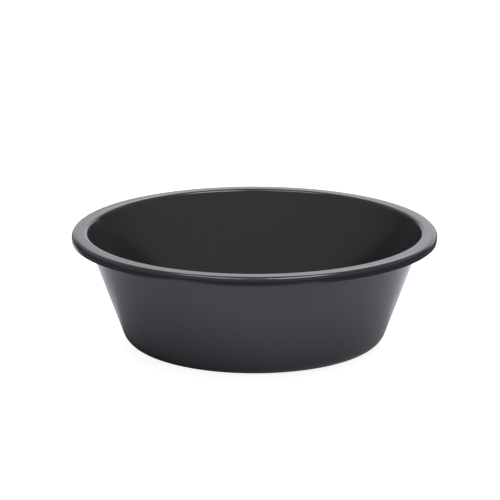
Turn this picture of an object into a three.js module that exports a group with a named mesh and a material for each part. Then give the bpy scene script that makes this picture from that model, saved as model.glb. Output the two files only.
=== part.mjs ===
// Mortar mixing tub: a shallow round tub moulded in one piece of dark polyethylene. A flat floor on a low
// standing ring, a straight sloping wall, and a narrow flat flange that turns down into a skirt.
// Millimetres, +Z up, origin at the centre of the base, on the surface that the tub stands on.

import * as THREE from "three";

// Driving dimensions
const RIM_RADIUS = 215; // outside of the skirt
const HEIGHT = 135; // standing surface to the top of the flange
const WALL_FOOT_RADIUS = 150.2; // outside of the wall, carried on down to the standing surface
const WALL_TOP_RADIUS = 199.7; // outside of the wall, carried on up to the top of the flange
const WALL_THICKNESS = 2.5; // wall, flange and skirt
const FLOOR_THICKNESS = 2.8;
const SKIRT_DROP = 11; // top of the flange to the lower edge of the skirt
const FLANGE_OUTER_ROUNDING = 7; // flange into skirt, on the outside
const FLANGE_INNER_ROUNDING = 6; // flange into the wall
const BASE_ROUNDING = 21.2; // wall into standing ring, on the outside
const FLOOR_ROUNDING = 19; // wall into floor, on the inside
const SKIRT_EDGE_ROUNDING = 0.5;
const STANDING_RING_WIDTH = 7; // flat width that touches the ground
const STANDING_RING_DEPTH = 1.4; // how far the floor's underside is raised inside the ring
const STANDING_RING_SLOPE = 2.2; // radial run of the ring's inner flank
const GATE_RADIUS = 7; // shallow round recess in the middle of the underside, where the plastic is injected
const GATE_DEPTH = 0.6;
const TURN_SEGMENTS = 72; // facets round the tub
const CHORD_GAP = 0.1; // how far a rounding's chords may stand off its true arc

// Derived dimensions
const wallSlope = (WALL_TOP_RADIUS - WALL_FOOT_RADIUS) / HEIGHT;
const wallAngle = Math.atan(wallSlope); // wall's lean from the vertical
const wallRun = WALL_THICKNESS / Math.cos(wallAngle); // wall thickness measured level
const floorTop = STANDING_RING_DEPTH + FLOOR_THICKNESS;
const outerWallRadius = (z) => WALL_FOOT_RADIUS + wallSlope * z;
const innerWallRadius = (z) => outerWallRadius(z) - wallRun;

// Inside of the channel under the flange
const channelTop = HEIGHT - WALL_THICKNESS;
const channelRadius = RIM_RADIUS - WALL_THICKNESS;
const skirtEdge = HEIGHT - SKIRT_DROP;

// The standing ring's flat begins where the base rounding ends.
const baseTurn = Math.PI / 2 - wallAngle;
const ringOuterRadius = WALL_FOOT_RADIUS - BASE_ROUNDING * Math.tan(baseTurn / 2);
const ringInnerRadius = ringOuterRadius - STANDING_RING_WIDTH;

// A corner of the section: its radius from the axis, its height, and the radius that rounds it.
const corner = (radius, z, rounding = 0) => ({ at: new THREE.Vector2(radius, z), rounding });

// The points of a section whose corners are rounded by arcs that touch both neighbouring sides.
function roundedSection(corners) {
  const origin = new THREE.Vector2();
  return corners.flatMap(({ at, rounding }, i) => {
    if (rounding === 0) return [at];
    const back = corners[i - 1].at.clone().sub(at).normalize();
    const ahead = corners[i + 1].at.clone().sub(at).normalize();
    const turn = Math.PI - Math.acos(back.dot(ahead));
    const side = Math.sign(ahead.cross(back));
    const centre = back.clone().add(ahead).setLength(rounding / Math.cos(turn / 2)).add(at);
    const start = back.clone().multiplyScalar(rounding * Math.tan(turn / 2)).add(at).sub(centre);
    const steps = Math.ceil(turn / (2 * Math.acos(1 - CHORD_GAP / rounding)));
    return Array.from({ length: steps + 1 }, (_, step) =>
      start.clone().rotateAround(origin, (side * turn * step) / steps).add(centre));
  });
}

// The tub's half section, from the middle of the underside out, up the outside, over the flange, down the
// inside and back to the middle of the floor.
const section = roundedSection([
  corner(0, STANDING_RING_DEPTH + GATE_DEPTH),
  corner(GATE_RADIUS - GATE_DEPTH, STANDING_RING_DEPTH + GATE_DEPTH),
  corner(GATE_RADIUS, STANDING_RING_DEPTH),
  corner(ringInnerRadius - STANDING_RING_SLOPE, STANDING_RING_DEPTH),
  corner(ringInnerRadius, 0),
  corner(WALL_FOOT_RADIUS, 0, BASE_ROUNDING),
  corner(outerWallRadius(channelTop), channelTop, FLANGE_INNER_ROUNDING - WALL_THICKNESS),
  corner(channelRadius, channelTop, FLANGE_OUTER_ROUNDING - WALL_THICKNESS),
  corner(channelRadius, skirtEdge, SKIRT_EDGE_ROUNDING),
  corner(RIM_RADIUS, skirtEdge, SKIRT_EDGE_ROUNDING),
  corner(RIM_RADIUS, HEIGHT, FLANGE_OUTER_ROUNDING),
  corner(innerWallRadius(HEIGHT), HEIGHT, FLANGE_INNER_ROUNDING),
  corner(innerWallRadius(floorTop), floorTop, FLOOR_ROUNDING),
  corner(0, floorTop),
]);

// Satin dark grey polyethylene
const polyethylene = new THREE.MeshStandardMaterial({ color: 0x35363a, roughness: 0.42, metalness: 0 });

const tubBody = new THREE.Mesh(new THREE.LatheGeometry(section, TURN_SEGMENTS), polyethylene);
tubBody.name = "tub_body";
tubBody.rotation.x = Math.PI / 2; // the lathe turns about +Y: stand its axis up along +Z

const tub = new THREE.Group();
tub.add(tubBody);

export default tub;
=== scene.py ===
# Mortar mixing tub: the fine surface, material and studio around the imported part. Metres, +Z up.
import math

import bmesh
import bpy
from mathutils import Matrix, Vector, noise


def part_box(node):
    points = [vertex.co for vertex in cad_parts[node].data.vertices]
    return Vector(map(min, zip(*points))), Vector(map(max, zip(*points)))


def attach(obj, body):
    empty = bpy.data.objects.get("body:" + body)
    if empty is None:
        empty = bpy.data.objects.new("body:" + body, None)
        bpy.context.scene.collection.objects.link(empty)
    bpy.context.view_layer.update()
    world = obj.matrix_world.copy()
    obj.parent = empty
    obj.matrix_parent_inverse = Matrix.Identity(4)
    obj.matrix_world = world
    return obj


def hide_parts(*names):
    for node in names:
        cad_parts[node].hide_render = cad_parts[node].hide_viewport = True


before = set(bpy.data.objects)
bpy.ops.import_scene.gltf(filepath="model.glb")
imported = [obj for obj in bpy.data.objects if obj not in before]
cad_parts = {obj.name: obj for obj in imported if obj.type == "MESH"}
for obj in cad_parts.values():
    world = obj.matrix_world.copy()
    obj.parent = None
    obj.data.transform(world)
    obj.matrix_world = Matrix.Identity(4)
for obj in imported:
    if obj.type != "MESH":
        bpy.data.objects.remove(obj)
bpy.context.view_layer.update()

MM = 0.001
NODE = "tub_body"

node_low, node_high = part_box(NODE)

# The tub's overall size comes from its CAD node, the rest of its section from these sizes.
RIM_RADIUS = (node_high.x - node_low.x) / 2
HEIGHT = node_high.z
WALL_FOOT_RADIUS = 150.2 * MM  # outside of the wall, carried on down to the ground
WALL_TOP_RADIUS = 199.7 * MM  # outside of the wall, carried on up to the top of the flange
WALL_THICKNESS = 2.5 * MM
FLOOR_THICKNESS = 2.8 * MM
SKIRT_DROP = 11.0 * MM
FLANGE_OUTER_ROUNDING = 7.0 * MM
FLANGE_INNER_ROUNDING = 6.0 * MM
BASE_ROUNDING = 21.2 * MM
FLOOR_ROUNDING = 19.0 * MM
SKIRT_EDGE_ROUNDING = 0.5 * MM
RING_WIDTH = 7.0 * MM  # flat of the standing ring
RING_DEPTH = 1.4 * MM
RING_SLOPE = 2.2 * MM
RING_ROUNDING = 0.9 * MM
GATE_RADIUS = 7.0 * MM  # round recess in the underside, with the sprue's stub in it
GATE_DEPTH = 0.6 * MM
GATE_ROUNDING = 0.25 * MM
STUB_RADIUS = 1.7 * MM
STUB_LENGTH = 0.45 * MM
STUB_ROUNDING = 0.125 * MM

TURN_SEGMENTS = 288
ARC_STEP = math.radians(5)
LONGEST_CELL = 4.5 * MM  # straight stretches of the section are cut into cells no longer than this
WARP_HEIGHT = 0.09 * MM  # how far a cooled moulding stands off its true shape
WARP_LENGTH = 70 * MM  # distance over which that changes
WARP_FROM, WARP_FULL = 3 * MM, 45 * MM  # height where it begins, and where it is full
ON_AXIS = 1e-9  # a section point closer to the axis than this is on it

# ---------------------------------------------------------------- section

def corner(radius, z, rounding=0.0):
    """A corner of the half section: where it is, and the radius of the arc that rounds it."""
    return Vector((radius, z)), rounding


def rounded(corners):
    """The outline through the corners, each rounded by an arc that touches its two sides."""
    points = []
    for i, (at, rounding) in enumerate(corners):
        if not rounding:
            points.append(at)
            continue
        back = (corners[i - 1][0] - at).normalized()
        ahead = (corners[i + 1][0] - at).normalized()
        turn = math.pi - math.acos(back.dot(ahead))
        centre = at + (back + ahead).normalized() * rounding / math.cos(turn / 2)
        start = at + back * rounding * math.tan(turn / 2) - centre
        side = math.copysign(1, ahead.x * back.y - ahead.y * back.x)
        steps = max(2, math.ceil(turn / ARC_STEP))
        for step in range(steps + 1):
            angle = side * turn * step / steps
            cos, sin = math.cos(angle), math.sin(angle)
            points.append(centre + Vector((start.x * cos - start.y * sin, start.x * sin + start.y * cos)))
    return points


def cut_long_sides(points):
    """The same outline with its straight sides cut into short cells."""
    cut = [points[0]]
    for a, b in zip(points, points[1:]):
        cells = max(1, math.ceil((b - a).length / LONGEST_CELL))
        cut += [a.lerp(b, k / cells) for k in range(1, cells + 1)]
    return cut


def tub_section():
    """The half section, from the underside's middle out, up, over the rim and back to the floor's middle."""
    slope = (WALL_TOP_RADIUS - WALL_FOOT_RADIUS) / HEIGHT
    lean = math.atan(slope)
    run = WALL_THICKNESS / math.cos(lean)
    floor_top = RING_DEPTH + FLOOR_THICKNESS
    gate_top = RING_DEPTH + GATE_DEPTH
    ring_outer = WALL_FOOT_RADIUS - BASE_ROUNDING * math.tan((math.pi / 2 - lean) / 2)
    ring_inner = ring_outer - RING_WIDTH
    skirt_inside = RIM_RADIUS - WALL_THICKNESS
    skirt_edge = HEIGHT - SKIRT_DROP
    ceiling = HEIGHT - WALL_THICKNESS
    return cut_long_sides(rounded([
        corner(0, gate_top - STUB_LENGTH),
        corner(STUB_RADIUS, gate_top - STUB_LENGTH, STUB_ROUNDING),
        corner(STUB_RADIUS, gate_top, STUB_ROUNDING),
        corner(GATE_RADIUS - GATE_DEPTH, gate_top, GATE_ROUNDING),
        corner(GATE_RADIUS, RING_DEPTH, GATE_ROUNDING),
        corner(ring_inner - RING_SLOPE, RING_DEPTH, RING_ROUNDING),
        corner(ring_inner, 0, RING_ROUNDING),
        corner(WALL_FOOT_RADIUS, 0, BASE_ROUNDING),
        corner(WALL_FOOT_RADIUS + slope * ceiling, ceiling, FLANGE_INNER_ROUNDING - WALL_THICKNESS),
        corner(skirt_inside, ceiling, FLANGE_OUTER_ROUNDING - WALL_THICKNESS),
        corner(skirt_inside, skirt_edge, SKIRT_EDGE_ROUNDING),
        corner(RIM_RADIUS, skirt_edge, SKIRT_EDGE_ROUNDING),
        corner(RIM_RADIUS, HEIGHT, FLANGE_OUTER_ROUNDING),
        corner(WALL_TOP_RADIUS - run, HEIGHT, FLANGE_INNER_ROUNDING),
        corner(WALL_FOOT_RADIUS + slope * floor_top - run, floor_top, FLOOR_ROUNDING),
        corner(0, floor_top),
    ]))


# ---------------------------------------------------------------- mesh

def smoothstep(low, high, value):
    t = min(1.0, max(0.0, (value - low) / (high - low)))
    return t * t * (3 - 2 * t)


def warp(point):
    """How far the cooled moulding stands off at a point: nothing at the standing ring, most at the rim."""
    free = smoothstep(WARP_FROM, WARP_FULL, point.z)
    return WARP_HEIGHT * free * noise.noise(point / WARP_LENGTH)


def build_tub():
    """The tub as one closed mesh: its section turned about +Z."""
    section = tub_section()
    bm = bmesh.new()
    rings = []
    for k, at in enumerate(section):
        if at.x < ON_AXIS:
            rings.append([bm.verts.new((0, 0, at.y))])
            continue
        along = section[min(k + 1, len(section) - 1)] - section[k - 1]
        outward = Vector((along.y, -along.x)).normalized()
        ring = []
        for s in range(TURN_SEGMENTS):
            angle = math.tau * s / TURN_SEGMENTS
            cos, sin = math.cos(angle), math.sin(angle)
            off = warp(Vector((at.x * cos, at.x * sin, at.y)))
            radius = at.x + off * outward.x
            ring.append(bm.verts.new((radius * cos, radius * sin, at.y + off * outward.y)))
        rings.append(ring)
    for low, high in zip(rings, rings[1:]):
        for s in range(TURN_SEGMENTS):
            n = (s + 1) % TURN_SEGMENTS
            if len(low) == 1:
                bm.faces.new((low[0], high[n], high[s]))
            elif len(high) == 1:
                bm.faces.new((low[s], low[n], high[0]))
            else:
                bm.faces.new((low[s], low[n], high[n], high[s]))
    for face in bm.faces:
        face.smooth = True
    mesh = bpy.data.meshes.new("tub")
    bm.to_mesh(mesh)
    bm.free()
    tub = bpy.data.objects.new("tub", mesh)
    bpy.context.scene.collection.objects.link(tub)
    return tub


# ---------------------------------------------------------------- materials

class Nodes:
    """A short way to build a node tree: each call makes one node and returns its main output."""

    def __init__(self, owner):
        owner.use_nodes = True
        self.tree = owner.node_tree
        self.tree.nodes.clear()

    def node(self, kind, inputs=(), **settings):
        made = self.tree.nodes.new(kind)
        for name, value in settings.items():
            setattr(made, name, value)
        for key, value in dict(inputs).items():
            if isinstance(value, bpy.types.NodeSocket):
                self.tree.links.new(value, made.inputs[key])
            else:
                made.inputs[key].default_value = value
        return made

    def math(self, operation, *values):
        return self.node("ShaderNodeMath", enumerate(values), operation=operation).outputs[0]

    def product(self, first, *others):
        for value in others:
            first = self.math("MULTIPLY", first, value)
        return first

    def distance(self, x, y):
        """How far the point (x, y) is from the origin."""
        return self.math("SQRT", self.math("ADD", self.product(x, x), self.product(y, y)))

    def ramp(self, value, low, high, start=0.0, end=1.0):
        """Goes smoothly from start to end as value goes from low to high."""
        inputs = {"Value": value, "From Min": low, "From Max": high, "To Min": start, "To Max": end}
        return self.node("ShaderNodeMapRange", inputs, interpolation_type="SMOOTHSTEP").outputs["Result"]

    def noise(self, vector, scale, detail, roughness=0.5):
        inputs = {"Vector": vector, "Scale": scale, "Detail": detail, "Roughness": roughness}
        return self.node("ShaderNodeTexNoise", inputs).outputs["Fac"]

    def mix(self, factor, first, second):
        """Goes from the first colour to the second as the factor goes from 0 to 1."""
        inputs = {"Factor": factor, "A": first, "B": second}
        return self.node("ShaderNodeMix", inputs, data_type="RGBA").outputs["Result"]

    def by_camera(self, seen, mirrored):
        """One shader for what the camera sees directly, another for what the tub mirrors."""
        direct = self.node("ShaderNodeLightPath").outputs["Is Camera Ray"]
        shaders = {0: direct, 1: mirrored.outputs[0], 2: seen.outputs[0]}
        return self.node("ShaderNodeMixShader", shaders).outputs[0]


# A scale is how many cells its noise has in a metre.
FLOW_SCALE = 14.0  # the moulding's flow shade
SPECK_SCALE = 420.0
SPECK_SHARE = 0.4  # of the colour's variation, the rest being flow
GRAIN_SCALE = 1500.0  # the mould's fine texture
TURNING_SCALE = 900.0  # the mould's turning marks
TURNING_SHARE = 0.3  # of the relief, the rest being grain
SCUFF_SCALE = 60.0
FLOW_SPREAD = (0.3, 0.7)  # the noise levels between which colour and roughness change
DARK_PLASTIC = (0.0219, 0.0226, 0.0245, 1)
LIGHT_PLASTIC = (0.0263, 0.0271, 0.0293, 1)
SCUFFED_PLASTIC = (0.075, 0.077, 0.080, 1)
SCUFF_SPREAD = (0.52, 0.68)  # the noise levels between which a scuff begins and is full
RIM_SCUFF = 0.15  # how scuffed the flange's outer rounding is, next to the standing ring
SCUFF_HEIGHT = 3 * MM  # the standing ring's scuffs are gone at this height
SCUFF_RING = (0.120, 0.128)  # and they fade in outwards between these radii
SCUFF_TINT = 0.5
SCUFF_ROUGHNESS = 0.15
SMOOTHEST, ROUGHEST = 0.14, 0.18
GRAIN_HEIGHT = 0.02 * MM
GRAIN_STRENGTH = 0.35
PLASTIC_IOR = 1.5


def tub_plastic():
    """Satin dark grey polyethylene: fine moulded grain, faint flow shade, light scuffs on handled edges."""
    material = bpy.data.materials.new("tub_plastic")
    n = Nodes(material)
    place = n.node("ShaderNodeTexCoord").outputs["Object"]
    x, y, z = n.node("ShaderNodeSeparateXYZ", {"Vector": place}).outputs
    radius = n.distance(x, y)
    rings = n.node("ShaderNodeCombineXYZ", {"X": radius, "Z": z}).outputs["Vector"]

    flow = n.noise(place, FLOW_SCALE, detail=4.0)
    grain = n.noise(place, GRAIN_SCALE, detail=2.0, roughness=0.6)
    speck = n.noise(place, SPECK_SCALE, detail=2.0)
    turning = n.noise(rings, TURNING_SCALE, detail=2.0)
    scuff_field = n.noise(place, SCUFF_SCALE, detail=6.0, roughness=0.7)

    # The edges that scuff are the flange's outer rounding and the standing ring.
    rim_edge = n.ramp(radius, RIM_RADIUS - FLANGE_OUTER_ROUNDING, RIM_RADIUS)
    foot_edge = n.product(n.ramp(z, 0.0, SCUFF_HEIGHT, 1.0, 0.0), n.ramp(radius, *SCUFF_RING))
    edges = n.math("MAXIMUM", n.product(rim_edge, RIM_SCUFF), foot_edge)
    scuffs = n.product(edges, n.ramp(scuff_field, *SCUFF_SPREAD))

    shade = n.math("ADD", n.product(flow, 1 - SPECK_SHARE), n.product(speck, SPECK_SHARE))
    clean = n.mix(n.ramp(shade, *FLOW_SPREAD), DARK_PLASTIC, LIGHT_PLASTIC)
    colour = n.mix(n.product(scuffs, SCUFF_TINT), clean, SCUFFED_PLASTIC)

    roughness = n.ramp(flow, *FLOW_SPREAD, SMOOTHEST, ROUGHEST)
    roughness = n.math("ADD", roughness, n.product(scuffs, SCUFF_ROUGHNESS))
    relief = n.math("ADD", n.product(grain, 1 - TURNING_SHARE), n.product(turning, TURNING_SHARE))
    bump = n.node("ShaderNodeBump", {"Height": relief, "Strength": GRAIN_STRENGTH, "Distance": GRAIN_HEIGHT})
    shader = n.node("ShaderNodeBsdfPrincipled", {
        "Base Color": colour,
        "Roughness": roughness,
        "Normal": bump.outputs["Normal"],
        "IOR": PLASTIC_IOR,
    })
    n.node("ShaderNodeOutputMaterial", {"Surface": shader.outputs[0]})
    return material


# ---------------------------------------------------------------- studio

# The camera sees a plain pale floor and a white surround. What the tub mirrors is set below, as radiance.
SOFT_WHITE = (1.0, 0.995, 1.045)
TABLE_WHITE = (0.98, 0.997, 1.08)

FLOOR_HALF = 14.0  # half its width
FLOOR_GAP = 0.05 * MM  # between the floor and the standing ring
FLOOR_GREY = (0.40, 0.40, 0.40, 1)
FLOOR_GLOW = 0.90

# The table that the tub stands on, as the tub mirrors it, is painted light, a glow: beyond its edges the
# studio is dark.
TABLE_LEFT, TABLE_RIGHT = -0.46, 0.33
TABLE_FRONT = -0.57
TABLE_FADE = 0.04
BESIDE_TABLE = 0.12
TABLE_FAR = (0.28, 0.42)  # it brightens outwards between these radii
TABLE_FAR_LEVEL = 1.30
TABLE_DIM = (-0.30, 0.0)  # it dims leftwards between these X
TABLE_DIM_LEVEL = 0.85

# A painted shadow of the tub on the table, dark inside a radius and lighter outside it.
SHADE_RADIUS = 0.1365
SHADE_TO_LEFT = 0.0165  # this much larger on the left, and smaller on the right
SHADE_RISE = 10.4  # gain per metre, in front of the tub
SHADE_SIDE_LOSS = 5.3  # how much less that is beside the tub
SHADE_CURVE = 0.78  # under 1: it lightens fastest close to the tub
SHADE_BEHIND = (0.0, 0.07)  # between these Y, the least level that it leaves rises
SHADE_LEAST = (0.05, 0.80)


def build_floor():
    """A plain pale floor. What the tub mirrors of it is painted light, a glowing table with a painted shadow
    of the tub close to it.
    """
    bm = bmesh.new()
    corners = [(-1, -1), (1, -1), (1, 1), (-1, 1)]
    bm.faces.new([bm.verts.new((FLOOR_HALF * a, FLOOR_HALF * b, 0)) for a, b in corners])
    mesh = bpy.data.meshes.new("floor")
    bm.to_mesh(mesh)
    bm.free()
    floor = bpy.data.objects.new("floor", mesh)
    floor.location.z = node_low.z - FLOOR_GAP
    bpy.context.scene.collection.objects.link(floor)

    material = bpy.data.materials.new("pale_floor")
    n = Nodes(material)
    place = n.node("ShaderNodeTexCoord").outputs["Object"]
    x, y, _ = n.node("ShaderNodeSeparateXYZ", {"Vector": place}).outputs
    away = n.distance(x, y)
    side = n.math("DIVIDE", x, away)  # -1 straight to the left of the tub, 1 to the right
    # Painted shadow: the table's glow is made darker close to the tub's foot by these sums, not cast by a
    # lamp.
    reach = n.math("MULTIPLY_ADD", side, -SHADE_TO_LEFT, SHADE_RADIUS)
    rise = n.math("MULTIPLY_ADD", n.product(side, side), -SHADE_SIDE_LOSS, SHADE_RISE)
    outside = n.math("MAXIMUM", n.math("SUBTRACT", away, reach), 0.0)
    shade = n.math("POWER", n.product(outside, rise), SHADE_CURVE)
    shade = n.math("MAXIMUM", shade, n.ramp(y, *SHADE_BEHIND, *SHADE_LEAST))
    # Painted light: the table's glow is brighter outwards, dimmer to the left, faint beside its side edges
    # and gone past its front.
    painted_light = n.product(
        n.math("MINIMUM", shade, 1.0),
        n.ramp(x, *TABLE_DIM, TABLE_DIM_LEVEL, 1.0),
        n.ramp(away, *TABLE_FAR, 1.0, TABLE_FAR_LEVEL),
        n.ramp(y, TABLE_FRONT - TABLE_FADE, TABLE_FRONT),
        n.ramp(x, TABLE_LEFT - TABLE_FADE, TABLE_LEFT, BESIDE_TABLE, 1.0),
        n.ramp(x, TABLE_RIGHT, TABLE_RIGHT + TABLE_FADE, 1.0, BESIDE_TABLE),
    )
    painted_table_light = n.node("ShaderNodeEmission", {"Color": (*TABLE_WHITE, 1), "Strength": painted_light})
    paper = n.node("ShaderNodeBsdfDiffuse", {"Color": FLOOR_GREY})
    glow = n.node("ShaderNodeEmission", {"Color": (1, 1, 1, 1), "Strength": FLOOR_GLOW})
    seen = n.node("ShaderNodeAddShader", {0: paper.outputs[0], 1: glow.outputs[0]})
    n.node("ShaderNodeOutputMaterial", {"Surface": n.by_camera(seen, painted_table_light)})
    mesh.materials.append(material)


LAMP_DISTANCE = 3.0  # from the middle of the rim


def softbox(name, azimuth, elevation, width, depth, radiance):
    """A rectangular soft light that faces the rim, out of the camera's sight. Azimuth runs from the front
    towards +X, both angles in degrees."""
    light = bpy.data.lights.new(name, "AREA")
    light.shape = "RECTANGLE"
    light.size, light.size_y = width, depth
    light.energy = radiance * math.pi * width * depth
    light.color = SOFT_WHITE
    lamp = bpy.data.objects.new(name, light)
    a, e = math.radians(azimuth), math.radians(elevation)
    way = Vector((math.cos(e) * math.sin(a), -math.cos(e) * math.cos(a), math.sin(e)))
    lamp.location = Vector((0, 0, HEIGHT)) + way * LAMP_DISTANCE
    lamp.rotation_euler = (-way).to_track_quat("-Z", "Y").to_euler()
    lamp.visible_camera = False
    bpy.context.scene.collection.objects.link(lamp)


def build_lights():
    softbox("front_right", azimuth=50, elevation=66, width=1.5, depth=0.90, radiance=7.3)
    softbox("front_left", azimuth=-52, elevation=69, width=1.6, depth=0.75, radiance=4.8)


# The bright sweep behind the tub. Heights are angles above the horizon, turns are angles from straight behind
# towards the right, both in degrees; a pair is where a change begins and ends.
SWEEP_HEIGHTS = (14, 44)
SWEEP_LEVELS = (1.17, 3.9)
SWEEP_TOP = (52, 68)  # it fades out upwards here
SWEEP_LEFT_REACH = (-42, -62)  # the turn of its left edge, at the two heights
SWEEP_LEFT_FULL = -12  # the turn where that edge has faded in
SWEEP_LEFT_DIM = (-6, 4)  # left of here it's dimmer
SWEEP_LEFT_LEVEL = 0.84
SWEEP_RIGHT = (34, 48)  # it fades out to the right here

# A weak fill from the rest of the room, and a crown of light high in front of the tub.
FILL_HEIGHTS = (0, 23)
FILL_LEVELS = (0.03, 0.50)
FILL_FADE = (30, 44)  # it dims upwards here
FILL_HIGH_SHARE = 0.68  # to this share of its level
CROWN_HEIGHTS = (58, 74)
CROWN_LEVEL = 1.4
CROWN_FADE = (-0.25, 0.0)  # it fades out backwards between these Y of a unit direction


def build_world():
    """A white sweep behind the tub that brightens upwards, and a weak fill; the camera sees plain white."""
    world = bpy.data.worlds.new("studio")
    bpy.context.scene.world = world
    n = Nodes(world)
    way = n.node("ShaderNodeTexCoord").outputs["Generated"]
    x, y, z = n.node("ShaderNodeSeparateXYZ", {"Vector": way}).outputs
    height = n.math("ARCSINE", z)
    turn = n.math("ARCTAN2", x, y)

    def band(angle, degrees, start=0.0, end=1.0):
        return n.ramp(angle, math.radians(degrees[0]), math.radians(degrees[1]), start, end)

    left_reach = band(height, SWEEP_HEIGHTS, *(math.radians(reach) for reach in SWEEP_LEFT_REACH))
    sweep = n.product(
        band(height, SWEEP_HEIGHTS, *SWEEP_LEVELS),
        band(height, SWEEP_TOP, 1.0, 0.0),
        n.ramp(turn, left_reach, math.radians(SWEEP_LEFT_FULL)),
        band(turn, SWEEP_LEFT_DIM, SWEEP_LEFT_LEVEL, 1.0),
        band(turn, SWEEP_RIGHT, 1.0, 0.0),
    )
    fill = n.product(band(height, FILL_HEIGHTS, *FILL_LEVELS), band(height, FILL_FADE, 1.0, FILL_HIGH_SHARE))
    crown = n.product(band(height, CROWN_HEIGHTS, 0.0, CROWN_LEVEL), n.ramp(y, *CROWN_FADE, 1.0, 0.0))
    level = n.math("MAXIMUM", sweep, n.math("ADD", fill, crown))
    room = n.node("ShaderNodeBackground", {"Color": (*SOFT_WHITE, 1), "Strength": level})
    white = n.node("ShaderNodeBackground", {"Color": (1, 1, 1, 1), "Strength": 1.0})
    n.node("ShaderNodeOutputWorld", {"Surface": n.by_camera(white, room)})


# ---------------------------------------------------------------- camera

CAMERA_RANGE = 16.85  # camera to the tub's base, in rim radii
CAMERA_ELEVATION = 0.29025  # of that line, in radians
AIM_HEIGHT = 0.8080  # of the point on the axis that the camera looks at, over the tub's height
AIM_SIDE = -0.024  # of that point, in rim radii
LENS_MM = 219.6
SENSOR_MM = 36.0
CLIP_START, CLIP_END = 0.1, 60


def build_camera():
    """A long lens a little above the rim."""
    data = bpy.data.cameras.new("camera")
    data.lens, data.sensor_width = LENS_MM, SENSOR_MM
    data.clip_start, data.clip_end = CLIP_START, CLIP_END
    camera = bpy.data.objects.new("camera", data)
    distance = CAMERA_RANGE * RIM_RADIUS
    camera.location = (0, -distance * math.cos(CAMERA_ELEVATION), distance * math.sin(CAMERA_ELEVATION))
    aim = Vector((AIM_SIDE * RIM_RADIUS, 0, AIM_HEIGHT * HEIGHT))
    camera.rotation_euler = (aim - camera.location).to_track_quat("-Z", "Y").to_euler()
    bpy.context.scene.collection.objects.link(camera)
    bpy.context.scene.camera = camera


# ---------------------------------------------------------------- scene

tub = build_tub()
tub.data.materials.append(tub_plastic())
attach(tub, "root")
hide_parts(NODE)

build_floor()
build_lights()
build_world()
build_camera()
bpy.context.scene.view_settings.view_transform = "Standard"
